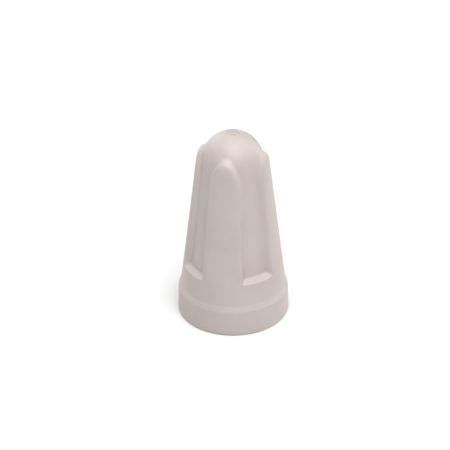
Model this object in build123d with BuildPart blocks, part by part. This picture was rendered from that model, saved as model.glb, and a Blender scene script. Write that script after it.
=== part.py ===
from build123d import *
import math
import os

# Twist-on wire connector of the smallest common size: a moulded cap with four ribs, and a
# conical square-wire spring pressed into it.  Millimetres.  The origin is the centre of the
# open mouth, +Z points to the domed end, and the ribs stand on the X and Y axes.

# Overall
height = 15.3
rim_radius = 4.30
cone_start_radius = 4.347  # where the outer cone's line would meet the rim plane
cone_taper = 0.122  # radius lost for each millimetre of height

# Base band, a little thicker than the cone above it
band_top_radius = 4.24
band_height = 2.05
band_step_height = 0.43
band_step_round = 0.20
rim_round = 0.12

# Flutes between the ribs, each ending in a sloping ledge
flute_depth = 0.50  # at the ledge
flute_depth_at_dome = 0.42
ledge_height = 4.22
ledge_rise = 0.26
ledge_round = 0.10
dome_centre_height = 13.0

# Ribs
rib_count = 4
rib_half_angle = 24.5
rib_foot_height = 3.90
rib_arch_start = 11.3
rib_arch_end = 13.88
rib_side_slope = 0.12  # sideways run of a rib's sides for each millimetre of depth
rib_arch_slope = 0.55  # the same at the top of its arch
rib_root_depth = 1.30
rib_edge_depth = 0.30  # depth of a crest's two edges under its middle line
rib_edge_round = 0.15
rib_relief = 0.01  # the crests lie this far inside the skirt's cone
shoulder_centre_height = 12.6
shoulder_rise = 1.75
shoulder_depth = 0.95

# Mark of the moulding gate, a small ring with a stub in it, on the dome
gate_radius = 0.46
gate_floor_height = 15.16
gate_stub_radius = 0.16
gate_stub_height = 15.24

# Mouth and skirt bore
bore_radius = 3.40
bore_top = 3.90
entry_chamfer = 0.25

# Spring: square wire, its corners facing in and out, wound right-handed on a cone
wire_side = 0.55
spring_pitch = 0.86
spring_bottom = 5.26  # height of the wire's centre at the open end
spring_top = 12.10  # height of the wire's centre at the closed end
spring_mouth_radius = 2.34  # to the wire's centre
spring_nose_radius = 1.38

# Spring seat in the shell, with a bead at its mouth that the spring is pressed past
seat_clearance = 0.02
lip_radius = 2.62
lip_low = 4.55
lip_high = 4.70
seat_mouth_height = 4.84
seat_end_height = 12.62
seat_floor_height = 13.15

# Worked-out values
wire_reach = wire_side / math.sqrt(2)  # centre of the wire to its corner
spring_rise = spring_top - spring_bottom
spring_taper = (spring_mouth_radius - spring_nose_radius) / spring_rise
band_step_top = band_height + band_step_height
ledge_top = ledge_height + ledge_rise
floor_taper = cone_taper - (flute_depth - flute_depth_at_dome) / (dome_centre_height - ledge_top)


def cone_radius(z):
    """Radius of the outer cone, where the skirt and the ribs' crests lie."""
    return cone_start_radius - cone_taper * z


def floor_radius(z):
    """Radius of the flutes' floor, which tapers less than the outer cone."""
    return cone_radius(ledge_top) - flute_depth - floor_taper * (z - ledge_top)


def seat_radius(z):
    """Radius of the tapered hole that the spring sits in."""
    wire_centre = spring_mouth_radius - spring_taper * (z - spring_bottom)
    return wire_centre + wire_reach + seat_clearance


# The dome is a quarter ellipse, tangent to the flutes' floor
dome_rise = height - dome_centre_height
dome_radius = math.sqrt(floor_radius(dome_centre_height) ** 2 - (floor_taper * dome_rise) ** 2)
dome_angle = math.degrees(math.atan(floor_taper * dome_rise / dome_radius))
dome_start = dome_centre_height + dome_rise * math.sin(math.radians(dome_angle))

# The ribs' shoulder is a quarter ellipse, tangent to the ribs' crests
shoulder_angle = math.degrees(math.atan(cone_taper * shoulder_rise / shoulder_depth))
shoulder_start = shoulder_centre_height + shoulder_rise * math.sin(math.radians(shoulder_angle))
shoulder_top = shoulder_centre_height + shoulder_rise
shoulder_centre_radius = (
    cone_radius(shoulder_start) - rib_relief - shoulder_depth * math.cos(math.radians(shoulder_angle))
)

# Plane that touches the outer cone along the middle of the +X rib; its Y axis runs up the rib
rib_plane = Plane(
    origin=(cone_radius(rib_foot_height), 0, rib_foot_height),
    x_dir=(0, 1, 0),
    z_dir=(1, 0, cone_taper),
)
rib_half_sine = math.sin(math.radians(rib_half_angle))
rib_straight = (rib_arch_start - rib_foot_height) * math.sqrt(1 + cone_taper**2)

# One rib: an arched block with sloping walls, cut to the outline of the crests
with BuildPart() as rib:
    for depth in (rib_root_depth, -rib_edge_depth):
        spread = (depth - rib_edge_depth) * rib_side_slope
        foot_half_width = cone_radius(rib_foot_height) * rib_half_sine + spread
        arch_half_width = cone_radius(rib_arch_start) * rib_half_sine + spread
        arch_rise = rib_arch_end - rib_arch_start + depth * rib_arch_slope
        with BuildSketch(rib_plane.offset(-depth)):
            with BuildLine():
                Polyline(
                    (-arch_half_width, rib_straight),
                    (-foot_half_width, 0),
                    (foot_half_width, 0),
                    (arch_half_width, rib_straight),
                )
                EllipticalCenterArc((0, rib_straight), arch_half_width, arch_rise, 0, arc_size=180)
            make_face()
    loft(ruled=True)
    with BuildSketch(Plane.XZ):
        with BuildLine():
            Polyline(
                (shoulder_centre_radius, shoulder_top),
                (0, shoulder_top),
                (0, rib_foot_height),
                (cone_radius(rib_foot_height) - rib_relief, rib_foot_height),
                (cone_radius(shoulder_start) - rib_relief, shoulder_start),
            )
            EllipticalCenterArc(
                (shoulder_centre_radius, shoulder_centre_height),
                shoulder_depth,
                shoulder_rise,
                shoulder_angle,
                arc_size=90 - shoulder_angle,
            )
        make_face()
    revolve(mode=Mode.INTERSECT)
    walls = rib.faces().filter_by(GeomType.BSPLINE)
    crests = rib.faces().filter_by(GeomType.CONE) + rib.faces().filter_by(GeomType.REVOLUTION)
    fillet(crests.edges() & walls.edges(), rib_edge_round)

with BuildPart() as shell:
    # Outside without the ribs: band, skirt, ledge, flute floor and dome
    with BuildSketch(Plane.XZ):
        with BuildLine():
            Polyline(
                (0, height),
                (0, 0),
                (rim_radius, 0),
                (band_top_radius, band_height),
                (cone_radius(band_step_top), band_step_top),
                (cone_radius(ledge_height), ledge_height),
                (floor_radius(ledge_top), ledge_top),
                (floor_radius(dome_start), dome_start),
            )
            EllipticalCenterArc(
                (0, dome_centre_height), dome_radius, dome_rise, dome_angle, arc_size=90 - dome_angle
            )
        make_face()
    revolve()
    rings = shell.edges().filter_by(GeomType.CIRCLE).sort_by(Axis.Z)
    fillet(rings.filter_by_position(Axis.Z, 0, 0), rim_round)
    fillet(rings.filter_by_position(Axis.Z, band_height, band_step_top), band_step_round)
    fillet(rings.filter_by_position(Axis.Z, ledge_height, ledge_top), ledge_round)
    with PolarLocations(0, rib_count):
        add(rib.part)

    # Inside: entry chamfer, skirt bore, lead-in cone, bead, spring seat and closed end
    with BuildSketch(Plane.XZ):
        with BuildLine():
            Polyline(
                (0, 0),
                (bore_radius + entry_chamfer, 0),
                (bore_radius, entry_chamfer),
                (bore_radius, bore_top),
                (lip_radius, lip_low),
                (lip_radius, lip_high),
                (seat_radius(seat_mouth_height), seat_mouth_height),
                (seat_radius(seat_end_height), seat_end_height),
                (0, seat_floor_height),
                close=True,
            )
        make_face()
    revolve(mode=Mode.SUBTRACT)

    # Gate mark
    with BuildSketch(Plane.XY.offset(gate_floor_height)):
        Circle(gate_radius)
    extrude(amount=height - gate_floor_height, mode=Mode.SUBTRACT)
    with BuildSketch(Plane.XY.offset(gate_floor_height)):
        Circle(gate_stub_radius)
    extrude(amount=gate_stub_height - gate_floor_height)
shell.part.label = "shell"

with BuildPart() as spring:
    with BuildLine() as coil:
        Helix(
            spring_pitch,
            spring_rise,
            spring_mouth_radius,
            center=(0, 0, spring_bottom),
            cone_angle=-math.degrees(math.atan(spring_taper)),
        )
    with BuildSketch(Plane(origin=coil.line @ 0, z_dir=coil.line % 0, x_dir=(1, 0, 0))):
        Rectangle(wire_side, wire_side, rotation=45)
    sweep(is_frenet=True)
spring.part.label = "spring"

os.makedirs("parts", exist_ok=True)
export_step(shell.part, "parts/shell.step")
export_step(spring.part, "parts/spring.step")
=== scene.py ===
import math

import bpy
import numpy as np
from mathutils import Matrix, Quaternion, Vector


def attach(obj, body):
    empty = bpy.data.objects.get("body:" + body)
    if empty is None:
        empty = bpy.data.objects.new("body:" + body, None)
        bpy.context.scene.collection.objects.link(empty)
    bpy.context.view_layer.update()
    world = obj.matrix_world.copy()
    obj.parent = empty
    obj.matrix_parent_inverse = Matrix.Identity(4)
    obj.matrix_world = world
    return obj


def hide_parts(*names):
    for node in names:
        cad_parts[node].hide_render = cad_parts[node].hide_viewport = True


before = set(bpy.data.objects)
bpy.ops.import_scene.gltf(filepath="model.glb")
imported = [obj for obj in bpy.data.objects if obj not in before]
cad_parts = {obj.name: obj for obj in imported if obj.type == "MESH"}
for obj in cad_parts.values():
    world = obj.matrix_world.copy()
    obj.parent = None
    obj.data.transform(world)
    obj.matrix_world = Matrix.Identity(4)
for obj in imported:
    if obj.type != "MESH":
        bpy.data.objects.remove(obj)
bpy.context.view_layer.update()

MM = 0.001
TINY = 1e-9  # keeps a division clear of zero

# Sizes are in millimetres, as in the CAD model, and heights are above the rim it stands on.
# The ribs stand on the X and Y axes.

# Outer cone, base band and dome
HEIGHT = 15.3
RIM_RADIUS = 4.30
RIM_ROUND = 0.12
CONE_START_RADIUS = 4.347  # where the cone's line would meet the rim plane
CONE_TAPER = 0.122  # radius lost for each millimetre of height
BAND_TOP_RADIUS = 4.24
BAND_HEIGHT = 2.05
BAND_STEP_TOP = 2.48
BAND_STEP_ROUND = 0.25
DOME_CENTRE_HEIGHT = 13.0

# Flutes, each ending in a sloping ledge
FLUTE_DEPTH = 0.50  # at the ledge
FLUTE_DEPTH_AT_DOME = 0.42
LEDGE_HEIGHT = 4.22
LEDGE_TOP = 4.48
LEDGE_EDGE_ROUND = 0.07
LEDGE_ROOT_ROUND = 0.14

# Ribs
RIB_COUNT = 4
RIB_HALF_ANGLE = math.radians(24.5)
RIB_WALL = 0.40  # width of the slope between a crest and the flute
RIB_WALL_POWER = 2  # above 1, the slope is steeper at the crest than at the flute
RIB_EDGE_SOFTNESS = 0.05
RIB_ARCH_START = 11.3
RIB_ARCH_END = 13.88
SHOULDER_CENTRE_HEIGHT = 12.6
SHOULDER_RISE = 1.75
SHOULDER_DEPTH = 0.95

# Gate mark on the dome: a shallow recess with an uneven stub in it
GATE_RADIUS = 0.46
GATE_FLOOR_HEIGHT = 15.16
GATE_LIP = 0.04
GATE_LIP_RISE = 0.005
GATE_ROUND = 0.03
GATE_EDGE_ROUND = 0.02
GATE_STUB_RADIUS = 0.16
GATE_STUB_HEIGHT = 15.24
GATE_STUB_SPREAD = 0.03
GATE_STUB_CROWN = 0.01
GATE_STUB_WAVES = ((1, 0.22, -0.6), (3, 0.10, 1.0), (7, 0.05, 0.0))  # number round it, size, turn

# Mouth, skirt bore, bead and spring seat
BORE_RADIUS = 3.40
BORE_TOP = 3.90
BORE_TOP_ROUND = 0.12
ENTRY_CHAMFER = 0.25
CHAMFER_RIM_ROUND = 0.06
CHAMFER_BORE_ROUND = 0.08
LIP_RADIUS = 2.62
LIP_LOW = 4.55
LIP_HIGH = 4.70
LIP_ROUND = 0.06
SEAT_MOUTH_HEIGHT = 4.84
SEAT_MOUTH_ROUND = 0.05
SEAT_END_HEIGHT = 12.62
SEAT_END_ROUND = 0.10
SEAT_FLOOR_HEIGHT = 13.15
SEAT_CLEARANCE = 0.02

# Spring: square wire, its corners facing in and out, wound right-handed on a cone
WIRE_SIDE = 0.55
WIRE_CORNER_ROUND = 0.05
SPRING_PITCH = 0.86  # along the cone's side, as the CAD's helix counts it
SPRING_BOTTOM = 5.26
SPRING_TOP = 12.10
SPRING_MOUTH_RADIUS = 2.34
SPRING_NOSE_RADIUS = 1.38

# Mesh fineness
ANGLE_COUNT = 320
ANGLE_CROWDING = 0.5  # how far the angles crowd towards the ribs' walls, from 0 to 1
OUTER_STEP = 0.14
INNER_STEP = 0.42
CORNER_STEPS = 6
DOME_STEPS = 70
OUTER_POLE_RADIUS = 0.03  # the first ring, next to the tip on the axis
INNER_POLE_RADIUS = 0.05
STEPS_PER_TURN = 84
WIRE_CORNER_STEPS = 4

WIRE_REACH = WIRE_SIDE / math.sqrt(2)
FLOOR_TAPER = CONE_TAPER + (FLUTE_DEPTH_AT_DOME - FLUTE_DEPTH) / (DOME_CENTRE_HEIGHT - LEDGE_TOP)
SPRING_TAPER = (SPRING_MOUTH_RADIUS - SPRING_NOSE_RADIUS) / (SPRING_TOP - SPRING_BOTTOM)


def cone_radius(height):
    """Radius of the outer cone, where the skirt and the ribs' crests lie."""
    return CONE_START_RADIUS - CONE_TAPER * height


def floor_radius(height):
    """Radius of the flutes' floor, which tapers less than the outer cone."""
    return cone_radius(LEDGE_TOP) - FLUTE_DEPTH - FLOOR_TAPER * (height - LEDGE_TOP)


def seat_radius(height):
    """Radius of the tapered hole that the spring sits in."""
    wire_centre = SPRING_MOUTH_RADIUS - SPRING_TAPER * (height - SPRING_BOTTOM)
    return wire_centre + WIRE_REACH + SEAT_CLEARANCE


# ---------------------------------------------------------------- profiles and meshes

def rounded(corners):
    """Points along the line through corners (radius, height, rounding), each corner an arc."""
    points = []
    for i, (radius, height, rounding) in enumerate(corners):
        here = np.array((radius, height), float)
        if rounding == 0:
            points.append(here)
            continue
        back = np.array(corners[i - 1][:2]) - here
        ahead = np.array(corners[i + 1][:2]) - here
        back, ahead = back / np.linalg.norm(back), ahead / np.linalg.norm(ahead)
        half = math.acos(np.clip(back @ ahead, -1, 1)) / 2
        middle = (back + ahead) / np.linalg.norm(back + ahead)
        centre = here + middle * rounding / math.sin(half)
        start = back * rounding / math.tan(half) + here - centre
        end = ahead * rounding / math.tan(half) + here - centre
        turn = math.pi - 2 * half
        for share in np.linspace(0, 1, CORNER_STEPS):
            along = math.sin((1 - share) * turn) * start + math.sin(share * turn) * end
            points.append(centre + along / math.sin(turn))
    return np.array(points)


def spaced(points, step):
    """The same line with more points on it, so that none are further apart than step."""
    path = [points[0]]
    for here, there in zip(points[:-1], points[1:]):
        count = max(1, math.ceil(np.linalg.norm(there - here) / step))
        path += [here + (there - here) * (i + 1) / count for i in range(count)]
    return np.array(path)


def ringed_mesh(name, rings, first_tip, last_tip):
    """A closed mesh: rings of equally many points joined by quads, and a fan to a tip at each
    end. All points are in millimetres."""
    ring_count, around = rings.shape[:2]
    points = np.vstack([rings.reshape(-1, 3), first_tip, last_tip]) * MM
    first, last = ring_count * around, ring_count * around + 1
    faces = []
    for ring in range(ring_count - 1):
        low, high = ring * around, (ring + 1) * around
        for i in range(around):
            j = (i + 1) % around
            faces.append((low + i, high + i, high + j, low + j))
    end = (ring_count - 1) * around
    for i in range(around):
        j = (i + 1) % around
        faces.append((first, i, j))
        faces.append((last, end + j, end + i))
    mesh = bpy.data.meshes.new(name)
    mesh.from_pydata(points.tolist(), [], faces)
    mesh.update()
    mesh.polygons.foreach_set("use_smooth", [True] * len(mesh.polygons))
    piece = bpy.data.objects.new(name, mesh)
    bpy.context.scene.collection.objects.link(piece)
    return piece


def point_values(piece, name, values):
    """Stores one number for each point of the mesh, for its material to read."""
    attribute = piece.data.attributes.new(name, "FLOAT", "POINT")
    attribute.data.foreach_set("value", np.asarray(values, np.float32))


# ---------------------------------------------------------------- shell

def ellipse(centre_radius, centre_height, reach, rise, height):
    """Radius of an upright ellipse's outer side at a height."""
    share = np.clip((height - centre_height) / rise, 0, 1)
    return centre_radius + reach * np.sqrt(1 - share * share)


def crest_radius(height):
    """Radius of the ribs' crests: the outer cone, then a rounded shoulder tangent to it."""
    angle = math.atan(CONE_TAPER * SHOULDER_RISE / SHOULDER_DEPTH)
    start = SHOULDER_CENTRE_HEIGHT + SHOULDER_RISE * math.sin(angle)
    centre = cone_radius(start) - SHOULDER_DEPTH * math.cos(angle)
    shoulder = ellipse(centre, SHOULDER_CENTRE_HEIGHT, SHOULDER_DEPTH, SHOULDER_RISE, height)
    return np.where(height < start, cone_radius(height), shoulder)


def rib_share(angle, height):
    """1 on a rib's crest and 0 in a flute, with a soft wall between them all round the rib."""
    period = 2 * math.pi / RIB_COUNT
    off_middle = np.abs((angle + period / 2) % period - period / 2)
    half_width = RIB_HALF_ANGLE * cone_radius(height)
    arch_rise = RIB_ARCH_END - RIB_ARCH_START
    across = off_middle / RIB_HALF_ANGLE
    up = np.clip(height - RIB_ARCH_START, 0, None) / arch_rise
    reach = np.hypot(across, up)
    steepness = np.hypot(across / half_width, up / arch_rise) / np.maximum(reach, TINY)
    outside = (reach - 1) / np.maximum(steepness, TINY)
    across_wall = (np.hypot(outside, RIB_EDGE_SOFTNESS) + outside) / 2 / RIB_WALL
    return np.clip(1 - across_wall, 0, 1) ** RIB_WALL_POWER


def outer_profile():
    """The outside without its ribs, from the gate mark down to the rim."""
    dome_rise = HEIGHT - DOME_CENTRE_HEIGHT
    dome_radius = math.sqrt(floor_radius(DOME_CENTRE_HEIGHT) ** 2 - (FLOOR_TAPER * dome_rise) ** 2)
    dome_foot = math.atan(FLOOR_TAPER * dome_rise / dome_radius)
    gate_edge = math.acos((GATE_RADIUS + GATE_LIP) / dome_radius)
    dome_angles = np.linspace(gate_edge, dome_foot, DOME_STEPS)
    dome_heights = DOME_CENTRE_HEIGHT + dome_rise * np.sin(dome_angles)
    dome = np.stack([dome_radius * np.cos(dome_angles), dome_heights], 1)
    gate = rounded([
        (OUTER_POLE_RADIUS, GATE_STUB_HEIGHT, 0),
        (GATE_STUB_RADIUS, GATE_STUB_HEIGHT - GATE_STUB_CROWN, GATE_ROUND),
        (GATE_STUB_RADIUS + GATE_STUB_SPREAD, GATE_FLOOR_HEIGHT, GATE_EDGE_ROUND),
        (GATE_RADIUS - GATE_LIP, GATE_FLOOR_HEIGHT, GATE_ROUND),
        (GATE_RADIUS, dome_heights[0] + GATE_LIP_RISE, GATE_EDGE_ROUND),
        (dome[0, 0], dome_heights[0], 0),
    ])
    walls = rounded([
        (dome[-1, 0], dome_heights[-1], 0),
        (floor_radius(LEDGE_TOP), LEDGE_TOP, LEDGE_ROOT_ROUND),
        (cone_radius(LEDGE_HEIGHT), LEDGE_HEIGHT, LEDGE_EDGE_ROUND),
        (cone_radius(BAND_STEP_TOP), BAND_STEP_TOP, BAND_STEP_ROUND),
        (BAND_TOP_RADIUS, BAND_HEIGHT, BAND_STEP_ROUND),
        (RIM_RADIUS, 0, RIM_ROUND),
        (BORE_RADIUS + ENTRY_CHAMFER, 0, 0),
    ])[:-1]
    return np.vstack([gate[:-1], dome, spaced(walls, OUTER_STEP)[1:]])


def inner_profile():
    """The inside, from the rim up to the closed end."""
    walls = rounded([
        (RIM_RADIUS, 0, 0),
        (BORE_RADIUS + ENTRY_CHAMFER, 0, CHAMFER_RIM_ROUND),
        (BORE_RADIUS, ENTRY_CHAMFER, CHAMFER_BORE_ROUND),
        (BORE_RADIUS, BORE_TOP, BORE_TOP_ROUND),
        (LIP_RADIUS, LIP_LOW, LIP_ROUND),
        (LIP_RADIUS, LIP_HIGH, LIP_ROUND),
        (seat_radius(SEAT_MOUTH_HEIGHT), SEAT_MOUTH_HEIGHT, SEAT_MOUTH_ROUND),
        (seat_radius(SEAT_END_HEIGHT), SEAT_END_HEIGHT, SEAT_END_ROUND),
        (INNER_POLE_RADIUS, SEAT_FLOOR_HEIGHT, 0),
    ])[1:]
    return spaced(walls, INNER_STEP)


def ring_angles():
    """Angles round the shell, closer together at the ribs' walls."""
    even = np.arange(ANGLE_COUNT) * 2 * math.pi / ANGLE_COUNT
    walls = 2 * RIB_COUNT
    return even + ANGLE_CROWDING * np.sin(walls * even) / walls


def make_shell():
    """The moulding: turned outer and inner profiles, with the ribs raised on the outer one."""
    outer, inner = outer_profile(), inner_profile()
    angle = ring_angles()
    height = np.concatenate([outer[:, 1], inner[:, 1]])
    radius = np.repeat(np.concatenate([outer[:, 0], inner[:, 0]])[:, None], ANGLE_COUNT, 1)
    outside = np.arange(len(height)) < len(outer)

    ribbed = outside & (height > BAND_STEP_TOP)
    share = rib_share(angle[None, :], height[:, None]) * ribbed[:, None]
    radius += np.maximum(crest_radius(height)[:, None] - radius, 0) * share

    stub = outside & (radius[:, 0] < (GATE_STUB_RADIUS + GATE_RADIUS) / 2)
    uneven = 1 + sum(size * np.cos(number * angle + turn) for number, size, turn in GATE_STUB_WAVES)
    radius *= np.where(stub[:, None], uneven, 1)

    heights = np.repeat(height[:, None], ANGLE_COUNT, 1)
    rings = np.stack([radius * np.cos(angle), radius * np.sin(angle), heights], -1)
    outer_tip, inner_tip = (0, 0, GATE_STUB_HEIGHT), (0, 0, SEAT_FLOOR_HEIGHT)
    shell = ringed_mesh("shell_moulding", rings, outer_tip, inner_tip)
    edge = 4 * share * (1 - share) * (height > LEDGE_HEIGHT)[:, None]
    point_values(shell, "rib_edge", np.append(edge.ravel(), (0, 0)))
    return shell


# ---------------------------------------------------------------- spring

def wire_section():
    """Outline of the square wire, one corner facing out, its corners a little rounded."""
    points = []
    centre_reach = WIRE_REACH - WIRE_CORNER_ROUND * math.sqrt(2)
    for corner in range(4):
        middle = corner * math.pi / 2
        for share in np.linspace(-1, 1, WIRE_CORNER_STEPS):
            turn = middle + share * math.pi / 4
            points.append((
                centre_reach * math.cos(middle) + WIRE_CORNER_ROUND * math.cos(turn),
                centre_reach * math.sin(middle) + WIRE_CORNER_ROUND * math.sin(turn),
            ))
    return np.array(points)


def make_spring():
    """The coil: the wire's section carried along a conical helix."""
    rise = SPRING_TOP - SPRING_BOTTOM
    turn_rise = SPRING_PITCH * math.cos(math.atan(SPRING_TAPER))
    turns = rise / turn_rise
    count = round(turns * STEPS_PER_TURN)
    share = np.linspace(0, 1, count + 1)
    angle = share * turns * 2 * math.pi
    radius = SPRING_MOUTH_RADIUS - SPRING_TAPER * rise * share
    outward = np.stack([np.cos(angle), np.sin(angle), np.zeros_like(angle)], 1)
    path = outward * radius[:, None] + np.outer(SPRING_BOTTOM + rise * share, (0, 0, 1))
    along = np.gradient(path, axis=0)
    along /= np.linalg.norm(along, axis=1)[:, None]
    upward = np.cross(along, outward)
    upward *= np.sign(upward[:, 2:3])
    upward /= np.linalg.norm(upward, axis=1)[:, None]
    section = wire_section()
    rings = (
        path[:, None]
        + section[None, :, :1] * outward[:, None]
        + section[None, :, 1:] * upward[:, None]
    )
    spring = ringed_mesh("spring_coil", rings, path[0], path[-1])
    length = np.append(0, np.cumsum(np.linalg.norm(np.diff(path, axis=0), axis=1)))
    ring_lengths = np.repeat(length, len(section))
    point_values(spring, "wire_length", np.append(ring_lengths, (0, length[-1])))
    return spring


# ---------------------------------------------------------------- materials

BODY_DARK = (0.442, 0.385, 0.366, 1)
BODY_PALE = (0.470, 0.414, 0.395, 1)
BODY_CLOUD = (0.503, 0.442, 0.423, 1)
BODY_PIT = (0.378, 0.327, 0.310, 1)
BODY_EDGE = (0.564, 0.508, 0.488, 1)
ZINC_BLUE = (0.70, 0.71, 0.74, 1)
ZINC_STRAW = (0.75, 0.73, 0.68, 1)
ZINC_DULL = (0.52, 0.52, 0.53, 1)
FLOOR_WHITE = (0.74, 0.74, 0.74, 1)


class Nodes:
    """A short way to write a material's nodes."""

    def __init__(self, name):
        self.material = bpy.data.materials.new(name)
        self.material.use_nodes = True
        self.tree = self.material.node_tree
        self.shader = self.tree.nodes["Principled BSDF"]

    def add(self, kind, settings=None, **inputs):
        """A node of that kind; an input is a value or another node's output."""
        node = self.tree.nodes.new(kind)
        for key, value in (settings or {}).items():
            setattr(node, key, value)
        for key, value in inputs.items():
            self.put(node.inputs[key], value)
        return node

    def put(self, socket, value):
        if isinstance(value, bpy.types.NodeSocket):
            self.tree.links.new(value, socket)
        else:
            socket.default_value = value

    def math(self, operation, *values):
        node = self.tree.nodes.new("ShaderNodeMath")
        node.operation = operation
        for socket, value in zip(node.inputs, values):
            self.put(socket, value)
        return node.outputs[0]

    def span(self, value, low, high, to_low, to_high):
        """value from low to high, turned into to_low to to_high, and held there."""
        node = self.tree.nodes.new("ShaderNodeMapRange")
        for socket, part in zip(node.inputs, (value, low, high, to_low, to_high)):
            self.put(socket, part)
        return node.outputs[0]

    def mix(self, share, first, second):
        node = self.tree.nodes.new("ShaderNodeMix")
        node.data_type = "RGBA"
        self.put(node.inputs["Factor"], share)
        self.put(node.inputs["A"], first)
        self.put(node.inputs["B"], second)
        return node.outputs["Result"]

    def noise(self, place, size, detail, roughness=0.5):
        """Noise whose features are about size millimetres wide."""
        node = self.add("ShaderNodeTexNoise", Vector=place, Scale=1 / (size * MM), Detail=detail)
        node.inputs["Roughness"].default_value = roughness
        return node.outputs["Fac"]

    def bump(self, height, strength, distance, under=None):
        node = self.add("ShaderNodeBump", Height=height, Strength=strength, Distance=distance * MM)
        if under is not None:
            self.put(node.inputs["Normal"], under)
        return node.outputs["Normal"]


def plastic_material():
    """Moulded warm-grey plastic: satin skin with a fine spark-eroded grain and faint flow marks."""
    made = Nodes("moulded_grey_plastic")
    place = made.add("ShaderNodeTexCoord").outputs["Object"]
    edge = made.add("ShaderNodeAttribute", {"attribute_name": "rib_edge"}).outputs["Fac"]
    drift = made.noise(place, 3.0, 3)
    cloud = made.noise(place, 0.7, 4, 0.6)
    grain = made.noise(place, 0.09, 3, 0.6)
    stretched = made.add("ShaderNodeMapping", Vector=place)
    stretched.inputs["Scale"].default_value = (1, 1, 0.16)
    flow = made.noise(stretched.outputs["Vector"], 0.45, 3, 0.55)

    body = made.mix(made.span(drift, 0.35, 0.65, 0, 1), BODY_DARK, BODY_PALE)
    body = made.mix(made.span(cloud, 0.35, 0.7, 0, 0.35), body, BODY_CLOUD)
    body = made.mix(made.span(grain, 0.30, 0.42, 0.30, 0), body, BODY_PIT)
    body = made.mix(made.math("MULTIPLY", edge, 0.12), body, BODY_EDGE)
    made.put(made.shader.inputs["Base Color"], body)

    cloud_rough = made.span(cloud, 0.3, 0.7, 0.40, 0.48)
    grain_rough = made.span(grain, 0.3, 0.7, -0.03, 0.05)
    made.put(made.shader.inputs["Roughness"], made.math("ADD", cloud_rough, grain_rough))
    normal = made.bump(flow, 0.25, 0.02)
    normal = made.bump(grain, 0.30, 0.008, normal)
    made.put(made.shader.inputs["Normal"], normal)
    made.shader.inputs["IOR"].default_value = 1.49
    made.shader.inputs["Subsurface Weight"].default_value = 0.08
    made.shader.inputs["Subsurface Radius"].default_value = (1.0, 0.85, 0.75)
    made.shader.inputs["Subsurface Scale"].default_value = 0.3 * MM
    return made.material


def zinc_material():
    """Bright zinc on drawn steel: fine lines along the wire and a faint blue and straw drift."""
    made = Nodes("zinc_plated_wire")
    place = made.add("ShaderNodeTexCoord").outputs["Object"]
    length = made.add("ShaderNodeAttribute", {"attribute_name": "wire_length"}).outputs["Fac"]
    drift = made.noise(place, 1.6, 3)
    spots = made.noise(place, 0.20, 3, 0.5)
    bands = made.add(
        "ShaderNodeTexNoise", {"noise_dimensions": "1D"}, W=length, Scale=9.0, Detail=4.0
    ).outputs["Fac"]

    colour = made.mix(made.span(drift, 0.35, 0.65, 0, 1), ZINC_BLUE, ZINC_STRAW)
    colour = made.mix(made.span(spots, 0.58, 0.75, 0, 0.25), colour, ZINC_DULL)
    made.put(made.shader.inputs["Base Color"], colour)
    made.shader.inputs["Metallic"].default_value = 1.0

    spots_rough = made.span(spots, 0.3, 0.7, 0.22, 0.36)
    bands_rough = made.span(bands, 0.3, 0.7, -0.04, 0.06)
    made.put(made.shader.inputs["Roughness"], made.math("ADD", spots_rough, bands_rough))
    normal = made.bump(spots, 0.12, 0.005)
    normal = made.bump(bands, 0.2, 0.01, normal)
    made.put(made.shader.inputs["Normal"], normal)
    return made.material


def floor_material():
    """Plain matt white."""
    made = Nodes("studio_floor")
    made.shader.inputs["Base Color"].default_value = FLOOR_WHITE
    made.shader.inputs["Roughness"].default_value = 0.9
    made.shader.inputs["Specular IOR Level"].default_value = 0.1
    return made.material


# ---------------------------------------------------------------- studio

CAMERA_AZIMUTH = math.radians(14.0)
CAMERA_ELEVATION = math.radians(33.8)
CAMERA_ROLL = math.radians(0.4)
CAMERA_DISTANCE = 143.3
CAMERA_LENS = 146.2
CAMERA_SENSOR = 36
CAMERA_NEAR = 5
CAMERA_FAR = 10000
AIM_HEIGHT = 7.3  # of the point that the camera and the lights face
AIM_LEFT = 0.61  # how far left of the axis the camera's point is
FLOOR_SIZE = 3000
LIGHT_DISTANCE = 300
WORLD_STRENGTH = 0.06


def around(azimuth, elevation, distance, height=0.0):
    """A place that far from the object's axis point at height, in the CAD's azimuths, in metres."""
    return Vector((
        distance * math.sin(azimuth) * math.cos(elevation),
        -distance * math.cos(azimuth) * math.cos(elevation),
        distance * math.sin(elevation) + height,
    )) * MM


def face(thing, target):
    """Turns a camera or a light towards a place."""
    thing.rotation_mode = "QUATERNION"
    thing.rotation_quaternion = (target - thing.location).to_track_quat("-Z", "Y")


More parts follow.
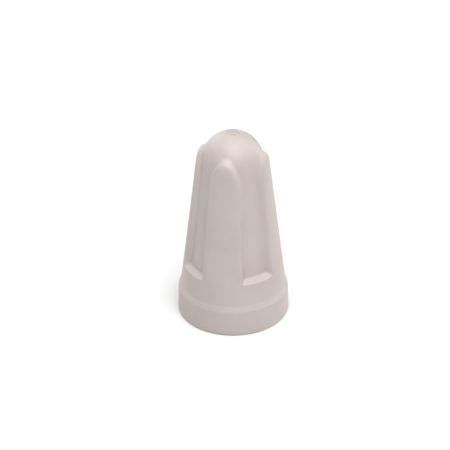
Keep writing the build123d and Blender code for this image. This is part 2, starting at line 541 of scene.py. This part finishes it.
def make_camera():
    """A long lens, above the object and a little to the right of its front."""
    camera = bpy.data.objects.new("camera", bpy.data.cameras.new("camera"))
    bpy.context.scene.collection.objects.link(camera)
    camera.location = around(CAMERA_AZIMUTH, CAMERA_ELEVATION, CAMERA_DISTANCE)
    left = Vector((-math.cos(CAMERA_AZIMUTH), -math.sin(CAMERA_AZIMUTH), 0))
    face(camera, left * AIM_LEFT * MM + Vector((0, 0, AIM_HEIGHT * MM)))
    camera.rotation_quaternion @= Quaternion((0, 0, 1), -CAMERA_ROLL)
    camera.data.sensor_width = CAMERA_SENSOR
    camera.data.lens = CAMERA_LENS
    camera.data.clip_start = CAMERA_NEAR * MM
    camera.data.clip_end = CAMERA_FAR * MM
    bpy.context.scene.camera = camera


def softbox(name, azimuth, elevation, size, radiance):
    """A square light of that size and radiance, facing the object. The angles are in degrees."""
    light = bpy.data.lights.new(name, "AREA")
    light.size = size * MM
    light.energy = radiance * math.pi * (size * MM) ** 2
    lamp = bpy.data.objects.new(name, light)
    bpy.context.scene.collection.objects.link(lamp)
    place = (math.radians(azimuth), math.radians(elevation), LIGHT_DISTANCE, AIM_HEIGHT)
    lamp.location = around(*place)
    face(lamp, Vector((0, 0, AIM_HEIGHT * MM)))


def make_studio():
    """A plain pale floor, a faint even world and six soft lights."""
    half = FLOOR_SIZE * MM / 2
    corners = [(-half, -half, 0), (half, -half, 0), (half, half, 0), (-half, half, 0)]
    mesh = bpy.data.meshes.new("floor")
    mesh.from_pydata(corners, [], [(0, 1, 2, 3)])
    floor = bpy.data.objects.new("floor", mesh)
    bpy.context.scene.collection.objects.link(floor)
    floor.data.materials.append(floor_material())

    world = bpy.data.worlds.new("studio")
    world.use_nodes = True
    background = world.node_tree.nodes["Background"]
    background.inputs["Color"].default_value = (1, 1, 1, 1)
    background.inputs["Strength"].default_value = WORLD_STRENGTH
    bpy.context.scene.world = world

    softbox("top right", 90, 75, 300, 2.0)
    softbox("top left", -85, 60, 300, 1.15)
    softbox("front", 14, 55, 300, 2.05)
    softbox("front right", 45, 55, 300, 1.25)
    softbox("back left", -130, 16, 260, 2.0)
    softbox("back right", 129, 15, 250, 2.1)
    bpy.context.scene.view_settings.view_transform = "Standard"


# ---------------------------------------------------------------- assembly

def finish_piece(piece, material, node):
    """Gives a piece its material and its place under the CAD's root body, and hides the CAD part it
    stands in for.
    """
    piece.data.materials.append(material)
    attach(piece, "root")
    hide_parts(node)


make_camera()
make_studio()
finish_piece(make_shell(), plastic_material(), "shell")
finish_piece(make_spring(), zinc_material(), "spring")
